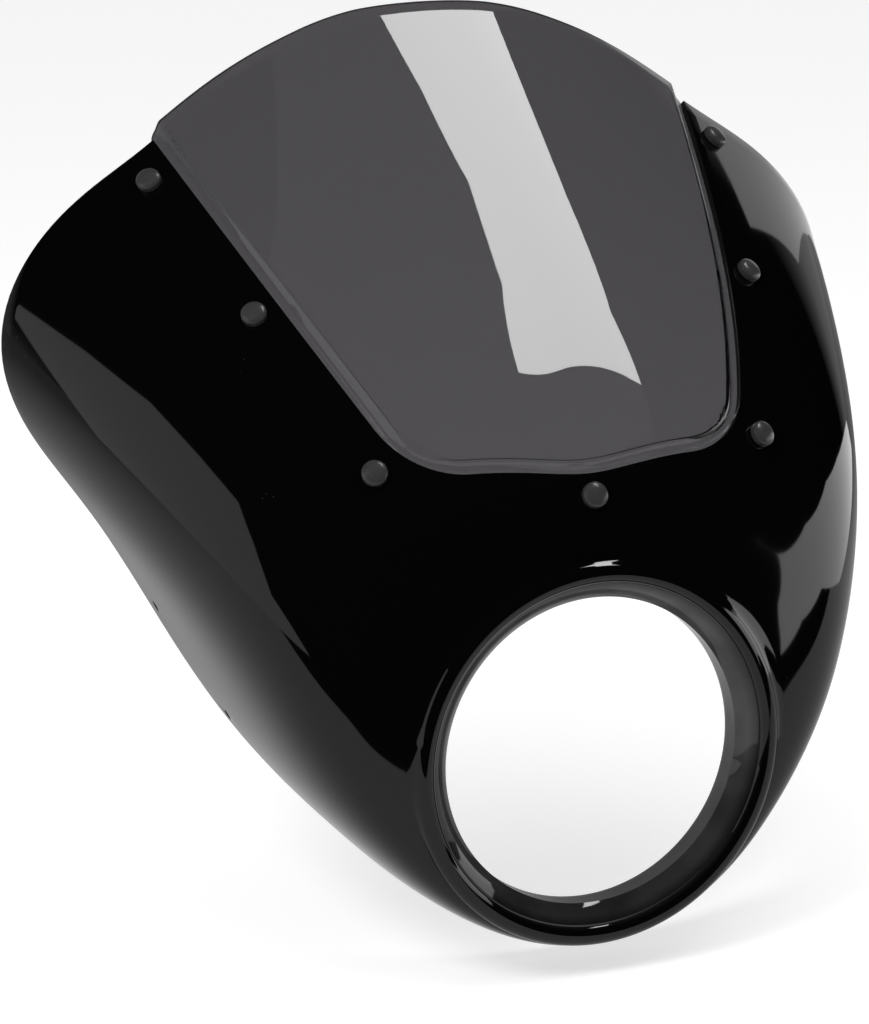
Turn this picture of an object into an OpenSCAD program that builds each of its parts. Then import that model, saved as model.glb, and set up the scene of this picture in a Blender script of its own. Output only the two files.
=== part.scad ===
// Headlight cowl for a motorbike: a moulded black shell around a round headlamp
// opening, a tinted windscreen set into its upper window, and seven capped fasteners.
// Millimetres. +X is the side to the right in the photo, +Y runs backwards, +Z is up.
// The origin is the centre of the headlamp opening, at the front end of its round wall.

/* [Headlamp opening] */
// Radius of the round wall that the headlamp fits into
opening_r = 82; // [76:0.5:88]
// Length of that round wall
opening_wall = 12; // [8:0.5:18]
// How far the front ring stands ahead of the round wall
ring_setback = 10; // [7:0.5:14]
// How much wider the front ring is than the round wall, on the radius
ring_flare = 9.2; // [7:0.2:12]
// Radius of the rolled bead around the opening
bead_r = 5.8; // [4.8:0.2:6.6]

/* [Shell] */
// Wall of the moulded shell
wall = 3; // [2:0.1:4]
// Overall width across the two ears
body_width = 480; // [440:5:520]
// Height of the windscreen's top edge above the opening's centre
body_height = 357; // [330:5:385]
// Depth from the front ring to the rear edge
body_depth = 240; // [215:5:265]

/* [Windscreen] */
// Thickness of the windscreen
screen_wall = 3; // [2:0.1:4]
// Clearance between the shell's back and the windscreen's flange
screen_gap = 0.3; // [0.2:0.1:0.6]
// How far the windscreen's face stands proud of the shell's face
screen_proud = 1.4; // [0:0.2:2.4]
// Width of the step that brings the windscreen forward
step_width = 7; // [6:0.5:9]
// Clearance between the window's edge and the foot of the step
step_inset = 2.2; // [1.4:0.1:3]
// Corner radius of the window
window_corner = 30; // [22:1:36]

/* [Fasteners] */
// Radius of each cap
cap_r = 6.8; // [6:0.1:7.6]
// Wall of each cap
cap_wall = 1; // [0.8:0.1:1.2]
// Height of the cap's straight skirt
cap_skirt = 2.6; // [2:0.1:3]
// Height of the cap's dome above its skirt
cap_dome = 3; // [2.4:0.1:3.6]
// Radius of the screw's shank
screw_r = 2.5; // [2:0.1:2.8]
// Radius of the screw's head
head_r = 4.6; // [4:0.1:4.8]
// Height of the screw's head
head_h = 2; // [1.6:0.1:2.4]
// Thickness of the washer under the head
washer_t = 1; // [0.8:0.1:1.2]
// Radial clearance around each shank
hole_clear = 0.4; // [0.3:0.1:0.6]
// Clearance between stacked faces
face_gap = 0.1; // [0.05:0.05:0.2]
// Height of the nut
nut_h = 4.4; // [4:0.1:6]
// Radius over the nut's corners
nut_r = 4.9; // [4.6:0.1:5.2]

/* [Bracket holes] */
// Radius of each bracket hole in the shell's flanks
bracket_hole_r = 3; // [2.5:0.1:3.5]

/* [Hidden] */
// Each station of the shell, from the bottom centre up the side to the top centre:
// angle on the opening, rear point, shoulder radius and depth, fullness, edge depth
STATIONS = [
    [-90, [0, 236, -108], [109, 8], 0.80, 47],
    [-78, [25, 236, -105], [109.5, 8], 0.80, 47],
    [-64, [47, 236, -95], [111, 8], 0.80, 48],
    [-50, [70, 236, -79], [115, 8], 0.82, 53],
    [-37, [92, 236, -62], [121, 8], 0.84, 57],
    [-25, [112, 236, -42], [129, 9], 0.85, 71],
    [-13, [134, 236, -19], [142, 9], 0.85, 112],
    [-3, [150, 236, 9], [157, 10], 0.85, 166],
    [5, [167, 236, 51], [171, 11], 0.85, 232],
    [11, [187, 236, 85], [180, 12], 0.85, 240],
    [16, [209, 236, 115], [186, 12], 0.85, 240],
    [21.5, [230, 236, 144], [193, 13], 0.84, 240],
    [27, [243, 235, 178], [201, 15], 0.82, 240],
    [33, [240, 234, 213], [208, 17], 0.80, 240],
    [39, [220, 233, 246], [212, 19], 0.77, 240],
    [45, [192, 232, 270], [208, 18], 0.75, 240],
    [51.6, [160, 231, 289], [203, 15], 0.75, 240],
    [61, [122, 235, 318], [190, 11], 0.77, 240],
    [71, [84, 238, 341], [172, 6], 0.80, 240],
    [81, [43, 240, 354], [157, 2], 0.84, 240],
    [90, [0, 241, 357], [150, 0], 0.85, 240]
];
LAST = len(STATIONS) - 1;
KX = body_width / 480;
KY = body_depth / 240;
KZ = body_height / 357;
LIP_R = opening_r + ring_flare + 2 * bead_r - 0.8;
LIP_Y = 3;

// A station as one list of numbers, scaled to the body's sizes
function packed(n) = let (s = STATIONS[n])
    [s[0], s[1][0] * KX, s[1][1] * KY, s[1][2] * KZ, s[2][0], s[2][1], s[3], s[4] * KY];

// The same list reflected to the other side of the centre plane
function reflected(v, turn) = [turn - v[0], -v[1], v[2], v[3], v[4], v[5], v[6], v[7]];
CONTROL = [
    reflected(packed(1), -180),
    for (n = [0 : LAST]) packed(n),
    reflected(packed(LAST - 1), 180)
];

// Smooth blend of four neighbouring stations
function blended(s) = let (
    x = min(max(s, 0), 1) * LAST,
    i = min(floor(x), LAST - 1),
    w = x - i
) (pow(1 - w, 3) * CONTROL[i] + (3 * pow(w, 3) - 6 * w * w + 4) * CONTROL[i + 1]
    + (1 + 3 * w + 3 * w * w - 3 * pow(w, 3)) * CONTROL[i + 2] + pow(w, 3) * CONTROL[i + 3]) / 6;

// Point on one rib of the body: from the lip at t = 0 round the shoulder to t = 1
function rib(v, t) = let (
    a = [LIP_R * cos(v[0]), LIP_Y, LIP_R * sin(v[0])],
    q = [v[4] * KX * cos(v[0]), v[5] * KY, v[4] * KZ * sin(v[0])],
    l = [v[1], v[2], v[3]],
    p = a + v[6] * (q - a),
    r = l + v[6] * (q - l)
) pow(1 - t, 3) * a + 3 * t * pow(1 - t, 2) * p + 3 * t * t * (1 - t) * r + pow(t, 3) * l;

// Where a rib is cut off: the parameter at which it reaches its edge depth
function cut_at(v, lo = 0.3, hi = 1, n = 18) =
    rib(v, 1)[1] <= v[7] ? 1
    : n == 0 ? (lo + hi) / 2
    : let (m = (lo + hi) / 2) rib(v, m)[1] < v[7] ? cut_at(v, m, hi, n - 1) : cut_at(v, lo, m, n - 1);

// Body point at s along the opening and v from the lip to the rear edge, on one side
function body(s, v, side = 1) = let (b = blended(s), p = rib(b, v * cut_at(b)))
    [side * p[0], p[1] - ring_setback, p[2]];

// Outward unit normal there
STEP = 0.002;
function unit(v) = v / norm(v);
function normal(s, v, side = 1) = let (
    b = blended(s),
    e = v * cut_at(b),
    along = s > 1 - STEP ? [1, 0, 0] * -1
        : s < STEP ? [1, 0, 0]
        : rib(blended(s + STEP), e) - rib(blended(s - STEP), e),
    down = rib(b, e + STEP) - rib(b, e - STEP),
    n = unit(cross(down, along))
) [side * n[0], n[1], n[2]];

// Window: its side edge starts near one rib and leans inwards going down
WINDOW_S = 0.805;
WINDOW_V = 0.318;
WINDOW_V_SIDE = 0.35;
WINDOW_LEAN = 0.034;
// Grid lines follow the window's side edge: g is the line, s its place on the ribs
function leaned(g, v) = g + WINDOW_LEAN * min(1 - v, 0.55)
    * (g <= WINDOW_S ? pow(g / WINDOW_S, 6) : (1 - g) / (1 - WINDOW_S));
function shifted(g, v, side, d) = let (s = leaned(g, v)) body(s, v, side) + d * normal(s, v, side);
// Height of the window's bottom edge, rising from the centre to its corners
function window_bottom(g) = let (w = min(max((1 - g) / (1 - WINDOW_S), 0), 1))
    WINDOW_V + (WINDOW_V_SIDE - WINDOW_V) * pow(w, 4);
// Lengths in millimetres of one unit of g and of v beside a point
function span_s(g, v) = norm(shifted(g + 0.01, v, 1, 0) - shifted(g - 0.01, v, 1, 0)) / 0.02;
function span_v(g, v) = norm(shifted(g, v + 0.01, 1, 0) - shifted(g, v - 0.01, 1, 0)) / 0.02;
CORNER_S = window_corner / span_s(WINDOW_S + 0.03, WINDOW_V_SIDE);
CORNER_V = window_corner / span_v(WINDOW_S + 0.03, WINDOW_V_SIDE);

// Shell grid: columns round the opening and rows from the lip to the rear edge
SIDE_COLUMNS = 34;
CORNER_COLUMNS = 6;
TOP_COLUMNS = 7;
LOW_ROWS = 9;
HIGH_ROWS = 10;
COLUMN_S = concat(
    [for (i = [0 : SIDE_COLUMNS]) WINDOW_S * i / SIDE_COLUMNS],
    [for (i = [1 : CORNER_COLUMNS]) WINDOW_S + CORNER_S * (1 - cos(90 * i / CORNER_COLUMNS))],
    [for (i = [1 : TOP_COLUMNS]) let (a = WINDOW_S + CORNER_S) a + (1 - a) * i / TOP_COLUMNS]
);
TOP = len(COLUMN_S) - 1;
COLUMNS = 2 * TOP;
ROWS = LOW_ROWS + HIGH_ROWS;
// Where the lower rows end on a column: the window's bottom edge or its corner
function low_end(s) = let (d = min(max(1 - (s - WINDOW_S) / CORNER_S, 0), 1))
    window_bottom(max(s, WINDOW_S)) + CORNER_V * (1 - sqrt(max(1 - d * d, 0)));
function row_v(s, j) = let (m = low_end(max(s, WINDOW_S)))
    j <= LOW_ROWS ? m * j / LOW_ROWS : m + (1 - m) * (j - LOW_ROWS) / HIGH_ROWS;
function column_s(i) = i <= TOP ? COLUMN_S[i] : COLUMN_S[COLUMNS - i];
function column_side(i) = i <= TOP ? 1 : -1;
function column_rows(i) = let (k = i <= TOP ? i : COLUMNS - i) k <= SIDE_COLUMNS ? ROWS : LOW_ROWS;
// Index of the first point of a column, and of a point in it
COLUMN_START = [for (i = 0, n = 0; i < COLUMNS; n = n + column_rows(i) + 1, i = i + 1) n];
LAYER = COLUMN_START[COLUMNS - 1] + column_rows(COLUMNS - 1) + 1;
function at(i, j, layer) = layer * LAYER + COLUMN_START[i % COLUMNS] + j;

// Two triangles of a quad given by its corners in order
function quad(a, b, c, d) = [[a, c, b], [a, d, c]];
function flat_list(lists) = [for (l = lists) for (x = l) x];

// Windscreen grid: fine across its step, coarse in its middle
FLANGE = 26;
FINE = [-FLANGE, -17, -8, 0, 1.2, 2.8, 4.5, 6.2, 8.2, 10.5, 14, 19, 26];
FINE_COUNT = len(FINE);
MID_COLUMNS = 8;
SCREEN_ROWS = 15;
SCREEN_COLUMN_S = concat(
    [for (f = FINE) WINDOW_S + f / span_s(WINDOW_S + 0.05, 0.8)],
    [for (i = [1 : MID_COLUMNS]) let (a = WINDOW_S + FINE[FINE_COUNT - 1] / span_s(WINDOW_S + 0.05, 0.8))
        a + (1 - a) * i / MID_COLUMNS]
);
SCREEN_HALF = len(SCREEN_COLUMN_S) - 1;
SCREEN_COLUMNS = 2 * SCREEN_HALF;
function screen_s(i) = i <= SCREEN_HALF ? SCREEN_COLUMN_S[i] : SCREEN_COLUMN_S[SCREEN_COLUMNS - i];
function screen_side(i) = i <= SCREEN_HALF ? 1 : -1;
SCREEN_LAST_ROW = FINE_COUNT - 1 + SCREEN_ROWS;
// Top end of a windscreen column: below the shell's edge on the flange, then above it
FLANGE_TOP = 0.985;
CORNER_RISE = 0.011;
function smooth(x) = let (w = min(max(x, 0), 1)) w * w * (3 - 2 * w);
function screen_top(s) = let (
    inside = smooth((s - WINDOW_S + 0.012) / 0.016),
    fade = smooth(1 - (s - WINDOW_S) / 0.11)
) FLANGE_TOP + inside * (1 - FLANGE_TOP + CORNER_RISE * fade);
function screen_v(s, j) = let (
    m = window_bottom(max(s, WINDOW_S)),
    k = span_v(min(s, 0.98), 0.4),
    e = m + FINE[FINE_COUNT - 1] / k
) j < FINE_COUNT ? m + FINE[j] / k : e + (screen_top(s) - e) * (j - FINE_COUNT + 1) / SCREEN_ROWS;
// Distance inside the window's edge, with its rounded corner
function inside_window(s, v) = let (
    x = (s - WINDOW_S) * span_s(min(max(s, WINDOW_S), 0.98), v),
    y = (v - window_bottom(max(s, WINDOW_S))) * span_v(min(s, 0.98), 0.4),
    r = window_corner
) x < r && y < r ? r - norm([r - x, r - y]) : min(x, y);
function screen_lift(s, v) = let (back = -wall - screen_gap)
    back + (screen_proud - back) * smooth((inside_window(s, v) - step_inset) / step_width);
function screen_point(i, j, deeper) = let (s = screen_s(i), v = screen_v(s, j), e = screen_side(i))
    shifted(s, v, e, screen_lift(s, v) - deeper);
function screen_at(i, j, layer) = (layer * (SCREEN_COLUMNS + 1) + i) * (SCREEN_LAST_ROW + 1) + j;

// Fastener places: name, s, v and side
PLACES = [
    ["right_top", 0.7875, 0.962, 1],
    ["right_middle", 0.795, 0.732, 1],
    ["right_lower", 0.8, 0.395, 1],
    ["centre_lower", 1, 0.25, 1],
    ["left_lower", 0.8, 0.395, -1],
    ["left_middle", 0.795, 0.732, -1],
    ["left_top", 0.7875, 0.962, -1]
];
// Bracket hole places in the flanks: s and v
BRACKET_HOLES = [[0.405, 0.95], [0.345, 0.95], [0.145, 0.84]];
SEAT_R = cap_r + 1.2;
SEAT_LIFT = 0.3;
CAP_FOOT = SEAT_LIFT + face_gap;
HEAD_FOOT = CAP_FOOT + washer_t + face_gap;
NUT_TOP = -wall - screen_gap - screen_wall - 0.5;
SHANK_END = NUT_TOP - nut_h - 2;
$fn = 48;

// Moves its children to a place on the body, with +Z along the outward normal
module seated(s, v, side) {
    n = normal(s, v, side);
    translate(body(s, v, side))
        rotate([0, acos(n[2]), atan2(n[1], n[0])])
            children();
}

// Curved body wall with the window left out
module body_wall() {
    points = [
        for (layer = [0, 1]) for (i = [0 : COLUMNS - 1]) for (j = [0 : column_rows(i)])
            shifted(column_s(i), row_v(column_s(i), j), column_side(i), -layer * wall)
    ];
    cells = [
        for (i = [0 : COLUMNS - 1])
            let (m = min(column_rows(i), column_rows((i + 1) % COLUMNS)))
            for (j = [0 : m - 1]) [i, j]
    ];
    outer = flat_list([for (c = cells)
        quad(at(c[0], c[1], 0), at(c[0], c[1] + 1, 0), at(c[0] + 1, c[1] + 1, 0), at(c[0] + 1, c[1], 0))]);
    inner = flat_list([for (c = cells)
        quad(at(c[0], c[1], 1), at(c[0] + 1, c[1], 1), at(c[0] + 1, c[1] + 1, 1), at(c[0], c[1] + 1, 1))]);
    ends = flat_list([for (i = [0 : COLUMNS - 1])
        let (m = min(column_rows(i), column_rows((i + 1) % COLUMNS)))
        concat(
            quad(at(i, 0, 0), at(i + 1, 0, 0), at(i + 1, 0, 1), at(i, 0, 1)),
            quad(at(i, m, 0), at(i, m, 1), at(i + 1, m, 1), at(i + 1, m, 0))
        )]);
    right = SIDE_COLUMNS;
    left = COLUMNS - SIDE_COLUMNS;
    sides = flat_list([for (j = [LOW_ROWS : ROWS - 1]) concat(
        quad(at(right, j, 0), at(right, j + 1, 0), at(right, j + 1, 1), at(right, j, 1)),
        quad(at(left, j, 0), at(left, j, 1), at(left, j + 1, 1), at(left, j + 1, 0))
    )]);
    polyhedron(points, concat(outer, inner, ends, sides), convexity = 10);
}

// Rolled bead, flare and round wall of the headlamp opening
module opening_collar() {
    bead_x = opening_r + ring_flare + bead_r;
    bead_y = 3.6;
    rim_x = bead_x + bead_r + 1.2;
    rotate([-90, 0, 0])
        rotate_extrude($fn = 180)
            polygon(concat(
                [[opening_r, opening_wall], [opening_r, 0]],
                [for (a = [180 : 15 : 360]) [bead_x + bead_r * cos(a), bead_y + bead_r * sin(a) - ring_setback]],
                [[rim_x, 4.8 - ring_setback], [rim_x, 8.2 - ring_setback], [bead_x + 3.2, 8.2 - ring_setback]],
                [for (a = [345 : -15 : 195]) [bead_x + 3 * cos(a), 7.4 + 3 * sin(a) - ring_setback]],
                [[opening_r + 3, 1.5], [opening_r + 3, opening_wall]]
            ));
}

// Shell of the cowl, with the opening, the fastener seats and all of its holes
module cowl_shell() {
    color([0.02, 0.02, 0.022])
        difference() {
            union() {
                body_wall();
                opening_collar();
                for (p = PLACES)
                    seated(p[1], p[2], p[3])
                        translate([0, 0, 0.1 - wall])
                            cylinder(h = wall - 0.1 + SEAT_LIFT, r = SEAT_R);
            }
            for (p = PLACES)
                seated(p[1], p[2], p[3])
                    translate([0, 0, -wall - 4])
                        cylinder(h = wall + 8, r = screw_r + hole_clear);
            for (h = BRACKET_HOLES)
                for (side = [1, -1])
                    seated(h[0], h[1], side)
                        translate([0, 0, -wall - 4])
                            cylinder(h = wall + 8, r = bracket_hole_r);
        }
}

// Tinted windscreen with its stepped flange behind the shell
module windscreen() {
    points = [
        for (layer = [0, 1]) for (i = [0 : SCREEN_COLUMNS]) for (j = [0 : SCREEN_LAST_ROW])
            screen_point(i, j, layer * screen_wall)
    ];
    last = SCREEN_LAST_ROW;
    faces = concat(
        flat_list([for (i = [0 : SCREEN_COLUMNS - 1]) for (j = [0 : last - 1]) concat(
            quad(screen_at(i, j, 0), screen_at(i, j + 1, 0), screen_at(i + 1, j + 1, 0), screen_at(i + 1, j, 0)),
            quad(screen_at(i, j, 1), screen_at(i + 1, j, 1), screen_at(i + 1, j + 1, 1), screen_at(i, j + 1, 1))
        )]),
        flat_list([for (i = [0 : SCREEN_COLUMNS - 1]) concat(
            quad(screen_at(i, 0, 0), screen_at(i + 1, 0, 0), screen_at(i + 1, 0, 1), screen_at(i, 0, 1)),
            quad(screen_at(i, last, 0), screen_at(i, last, 1), screen_at(i + 1, last, 1), screen_at(i + 1, last, 0))
        )]),
        flat_list([for (j = [0 : last - 1]) concat(
            quad(screen_at(0, j, 0), screen_at(0, j, 1), screen_at(0, j + 1, 1), screen_at(0, j + 1, 0)),
            quad(screen_at(SCREEN_COLUMNS, j, 0), screen_at(SCREEN_COLUMNS, j + 1, 0),
                screen_at(SCREEN_COLUMNS, j + 1, 1), screen_at(SCREEN_COLUMNS, j, 1))
        )])
    );
    color([0.2, 0.2, 0.21, 0.6])
        difference() {
            polyhedron(points, faces, convexity = 10);
            for (p = PLACES)
                seated(p[1], p[2], p[3])
                    translate([0, 0, -wall - screen_wall - 5])
                        cylinder(h = wall + screen_wall + 8, r = screw_r + hole_clear);
        }
}

// Profile of a domed cap as a half section, outside then inside
module cap_section() {
    inner = cap_r - cap_wall;
    crown = cap_dome - cap_wall;
    polygon(concat(
        [[cap_r, 0], [cap_r, cap_skirt]],
        [for (a = [10 : 10 : 90]) [cap_r * cos(a), cap_skirt + cap_dome * sin(a)]],
        [[0, cap_skirt + crown]],
        [for (a = [80 : -10 : 10]) [inner * cos(a), cap_skirt + crown * sin(a)]],
        [[inner, cap_skirt], [inner, 0]]
    ));
}

module cap(p) {
    color([0.03, 0.03, 0.03])
        seated(p[1], p[2], p[3])
            translate([0, 0, CAP_FOOT])
                rotate_extrude()
                    cap_section();
}

// Screw with a domed head above the shell and its shank through to the nut
module screw(p) {
    color([0.55, 0.56, 0.57])
        seated(p[1], p[2], p[3])
            rotate_extrude()
                polygon(concat(
                    [[0, SHANK_END], [screw_r - 0.5, SHANK_END], [screw_r, SHANK_END + 0.5],
                        [screw_r, HEAD_FOOT], [head_r, HEAD_FOOT]],
                    [for (a = [0 : 15 : 90]) [head_r - 1.2 + 1.2 * cos(a), HEAD_FOOT + head_h - 1.2 + 1.2 * sin(a)]],
                    [[0, HEAD_FOOT + head_h]]
                ));
}

module washer(p) {
    color([0.06, 0.06, 0.06])
        seated(p[1], p[2], p[3])
            translate([0, 0, CAP_FOOT])
                difference() {
                    cylinder(h = washer_t, r = cap_r - cap_wall - 0.4);
                    translate([0, 0, -1])
                        cylinder(h = washer_t + 2, r = screw_r + hole_clear);
                }
}

// Hexagonal nut behind the windscreen's flange
module nut(p) {
    color([0.6, 0.61, 0.62])
        seated(p[1], p[2], p[3])
            translate([0, 0, NUT_TOP - nut_h])
                difference() {
                    intersection() {
                        linear_extrude(height = nut_h)
                            circle(r = nut_r, $fn = 6);
                        rotate_extrude()
                            polygon([[0, 0], [nut_r - 0.6, 0], [nut_r, 0.5], [nut_r, nut_h - 0.5],
                                [nut_r - 0.6, nut_h], [0, nut_h]]);
                    }
                    translate([0, 0, -1])
                        cylinder(h = nut_h + 2, r = screw_r + 0.1);
                }
}

// Which sub-part to build, or all of them

cowl_shell();
windscreen();
for (p = PLACES) cap(p);
for (p = PLACES) screw(p);
for (p = PLACES) washer(p);
for (p = PLACES) nut(p);
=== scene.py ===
"""Dressed headlight cowl: a gloss black shell, a smoke-tinted windscreen and capped fasteners."""
import logging
import math
from dataclasses import dataclass, field
from enum import Enum
from typing import Sequence

import bpy
import numpy as np
from mathutils import Matrix, Vector


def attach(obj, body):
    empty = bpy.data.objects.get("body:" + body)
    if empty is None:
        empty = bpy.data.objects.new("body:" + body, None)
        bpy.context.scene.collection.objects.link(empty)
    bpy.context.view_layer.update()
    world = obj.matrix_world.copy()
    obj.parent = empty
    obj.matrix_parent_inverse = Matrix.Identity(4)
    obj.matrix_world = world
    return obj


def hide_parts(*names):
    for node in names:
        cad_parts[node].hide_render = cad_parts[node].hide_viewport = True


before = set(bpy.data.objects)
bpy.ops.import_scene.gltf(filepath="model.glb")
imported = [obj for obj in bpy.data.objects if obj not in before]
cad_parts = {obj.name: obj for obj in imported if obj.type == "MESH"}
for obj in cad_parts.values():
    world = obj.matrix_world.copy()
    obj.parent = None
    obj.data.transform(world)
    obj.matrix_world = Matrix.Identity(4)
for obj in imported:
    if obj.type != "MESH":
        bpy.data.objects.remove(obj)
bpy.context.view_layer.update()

LOG = logging.getLogger("cowl")
MM = 0.001
MERGE_DISTANCE = 1e-6
SCREW_BORE_R = 2.9 * MM
BRACKET_BORE_R = 3 * MM
SHELL_CUTTER_LENGTH = 14 * MM
SCREEN_CUTTER_LENGTH = 24 * MM
CUTTER_SIDES = 40
BEVEL_ABOVE = math.radians(50)
SMOOTH_BELOW = math.radians(35)


class Side(Enum):
    """Which side of the bike's centre plane a thing is on."""

    RIGHT = 1
    LEFT = -1


@dataclass(frozen=True)
class Station:
    """One rib of the body, in millimetres, measured from the front ring.

    Args:
        angle: direction on the opening, in degrees from +X towards +Z.
        rear: the rib's end at the rear edge.
        shoulder_r: radius of the shoulder that pulls the rib outwards.
        shoulder_y: depth of that shoulder.
        fullness: how closely the rib follows the shoulder.
        edge_y: depth at which the rear edge cuts the rib.
    """

    angle: float
    rear: tuple[float, float, float]
    shoulder_r: float
    shoulder_y: float
    fullness: float
    edge_y: float


STATIONS: tuple[Station, ...] = (
    Station(-90, (0, 236, -108), 109, 8, 0.80, 47),
    Station(-78, (25, 236, -105), 109.5, 8, 0.80, 47),
    Station(-64, (47, 236, -95), 111, 8, 0.80, 48),
    Station(-50, (70, 236, -79), 115, 8, 0.82, 53),
    Station(-37, (92, 236, -62), 121, 8, 0.84, 57),
    Station(-25, (112, 236, -42), 129, 9, 0.85, 71),
    Station(-13, (134, 236, -19), 142, 9, 0.85, 112),
    Station(-3, (150, 236, 9), 157, 10, 0.85, 166),
    Station(5, (167, 236, 51), 171, 11, 0.85, 232),
    Station(11, (187, 236, 85), 180, 12, 0.85, 240),
    Station(16, (209, 236, 115), 186, 12, 0.85, 240),
    Station(21.5, (230, 236, 144), 193, 13, 0.84, 240),
    Station(27, (243, 235, 178), 201, 15, 0.82, 240),
    Station(33, (240, 234, 213), 208, 17, 0.80, 240),
    Station(39, (220, 233, 246), 212, 19, 0.77, 240),
    Station(45, (192, 232, 270), 208, 18, 0.75, 240),
    Station(51.6, (160, 231, 289), 203, 15, 0.75, 240),
    Station(61, (122, 235, 318), 190, 11, 0.77, 240),
    Station(71, (84, 238, 341), 172, 6, 0.80, 240),
    Station(81, (43, 240, 354), 157, 2, 0.84, 240),
    Station(90, (0, 241, 357), 150, 0, 0.85, 240),
)


@dataclass
class BodySurface:
    """The smooth outer surface that the shell and the windscreen share, in millimetres."""

    lip_r: float = 102.0
    lip_y: float = 3.0
    setback: float = 10.0
    step: float = 0.002
    window_s: float = 0.805
    window_v: float = 0.318
    window_v_side: float = 0.35
    window_lean: float = 0.034
    control: np.ndarray = field(init=False)

    def __post_init__(self) -> None:
        """Packs the stations and their reflections past both ends."""
        rows = [
            [s.angle, *s.rear, s.shoulder_r, s.shoulder_y, s.fullness, s.edge_y] for s in STATIONS
        ]
        first = self.reflected(rows[1], -180)
        last = self.reflected(rows[-2], 180)
        self.control = np.array([first, *rows, last], float)

    @staticmethod
    def reflected(row: Sequence[float], turn: float) -> list[float]:
        """Returns a station's numbers on the other side of the centre plane."""
        return [turn - row[0], -row[1], *row[2:]]

    def blended(self, s: float) -> np.ndarray:
        """Blends four neighbouring stations.

        Args:
            s: place round the opening, 0 at the bottom centre and 1 at the top centre.

        Returns:
            The station's numbers at that place.
        """
        last = len(STATIONS) - 1
        x = min(max(s, 0.0), 1.0) * last
        i = min(int(x), last - 1)
        w = x - i
        weights = (
            (1 - w) ** 3 / 6,
            (3 * w**3 - 6 * w * w + 4) / 6,
            (1 + 3 * w + 3 * w * w - 3 * w**3) / 6,
            w**3 / 6,
        )
        return sum(k * self.control[i + n] for n, k in enumerate(weights))

    def rib(self, v: np.ndarray, t: float) -> np.ndarray:
        """Returns the point at t along a rib, from the lip at 0 to the rear at 1."""
        a = math.radians(v[0])
        c, n = math.cos(a), math.sin(a)
        start = np.array([self.lip_r * c, self.lip_y, self.lip_r * n])
        shoulder = np.array([v[4] * c, v[5], v[4] * n])
        rear = v[1:4]
        p = start + v[6] * (shoulder - start)
        q = rear + v[6] * (shoulder - rear)
        u = 1 - t
        return u**3 * start + 3 * t * u * u * p + 3 * t * t * u * q + t**3 * rear

    def cut_at(self, v: np.ndarray) -> float:
        """Returns where the rear edge cuts a rib."""
        if self.rib(v, 1)[1] <= v[7]:
            return 1.0
        lo, hi = 0.3, 1.0
        for _ in range(18):
            mid = (lo + hi) / 2
            lo, hi = (mid, hi) if self.rib(v, mid)[1] < v[7] else (lo, mid)
        return (lo + hi) / 2

    def frame_at(self, s: float, v: float) -> tuple[np.ndarray, np.ndarray]:
        """Finds a point of the surface and its outward unit normal.

        Args:
            s: place round the opening, from 0 to 1.
            v: place along the rib, 0 at the lip and 1 at the rear edge.

        Returns:
            The point and the normal, on the right-hand side.
        """
        b = self.blended(s)
        t = v * self.cut_at(b)
        point = self.rib(b, t) - np.array([0, self.setback, 0])
        h = self.step
        if s > 1 - h:
            along = np.array([-1.0, 0, 0])
        elif s < h:
            along = np.array([1.0, 0, 0])
        else:
            along = self.rib(self.blended(s + h), t) - self.rib(self.blended(s - h), t)
        down = self.rib(b, t + h) - self.rib(b, t - h)
        n = np.cross(down, along)
        return point, n / np.linalg.norm(n)

    def leaned(self, g: float, v: float) -> float:
        """Returns the place round the opening of grid line g, which follows the window's side."""
        share = (g / self.window_s) ** 6 if g <= self.window_s else (1 - g) / (1 - self.window_s)
        return g + self.window_lean * min(1 - v, 0.55) * share

    def shifted(self, g: float, v: float, side: int, lift: float) -> np.ndarray:
        """Returns the point of grid line g at v on one side, lifted along the normal."""
        p, n = self.frame_at(self.leaned(g, v), v)
        q = p + lift * n
        return np.array([side * q[0], q[1], q[2]])

    def window_bottom(self, g: float) -> float:
        """Returns v at the window's bottom edge."""
        w = min(max((1 - g) / (1 - self.window_s), 0.0), 1.0)
        return self.window_v + (self.window_v_side - self.window_v) * w**4

    def span_g(self, g: float, v: float) -> float:
        """Returns the length in millimetres of one unit of g."""
        a = self.shifted(g + 0.01, v, 1, 0)
        return float(np.linalg.norm(a - self.shifted(g - 0.01, v, 1, 0))) / 0.02

    def span_v(self, g: float, v: float) -> float:
        """Returns the length in millimetres of one unit of v."""
        a = self.shifted(g, v + 0.01, 1, 0)
        return float(np.linalg.norm(a - self.shifted(g, v - 0.01, 1, 0))) / 0.02


@dataclass(frozen=True)
class Place:
    """Where a fastener sits: its name's end, its place on the surface and its side."""

    name: str
    s: float
    v: float
    side: Side


PLACES: tuple[Place, ...] = (
    Place("right_top", 0.7875, 0.962, Side.RIGHT),
    Place("right_middle", 0.795, 0.732, Side.RIGHT),
    Place("right_lower", 0.8, 0.395, Side.RIGHT),
    Place("centre_lower", 1.0, 0.25, Side.RIGHT),
    Place("left_lower", 0.8, 0.395, Side.LEFT),
    Place("left_middle", 0.795, 0.732, Side.LEFT),
    Place("left_top", 0.7875, 0.962, Side.LEFT),
)
BRACKET_HOLES: tuple[tuple[float, float], ...] = ((0.405, 0.95), (0.345, 0.95), (0.145, 0.84))


def smooth(x: float) -> float:
    """Returns an eased step from 0 to 1."""
    w = min(max(x, 0.0), 1.0)
    return w * w * (3 - 2 * w)


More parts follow.
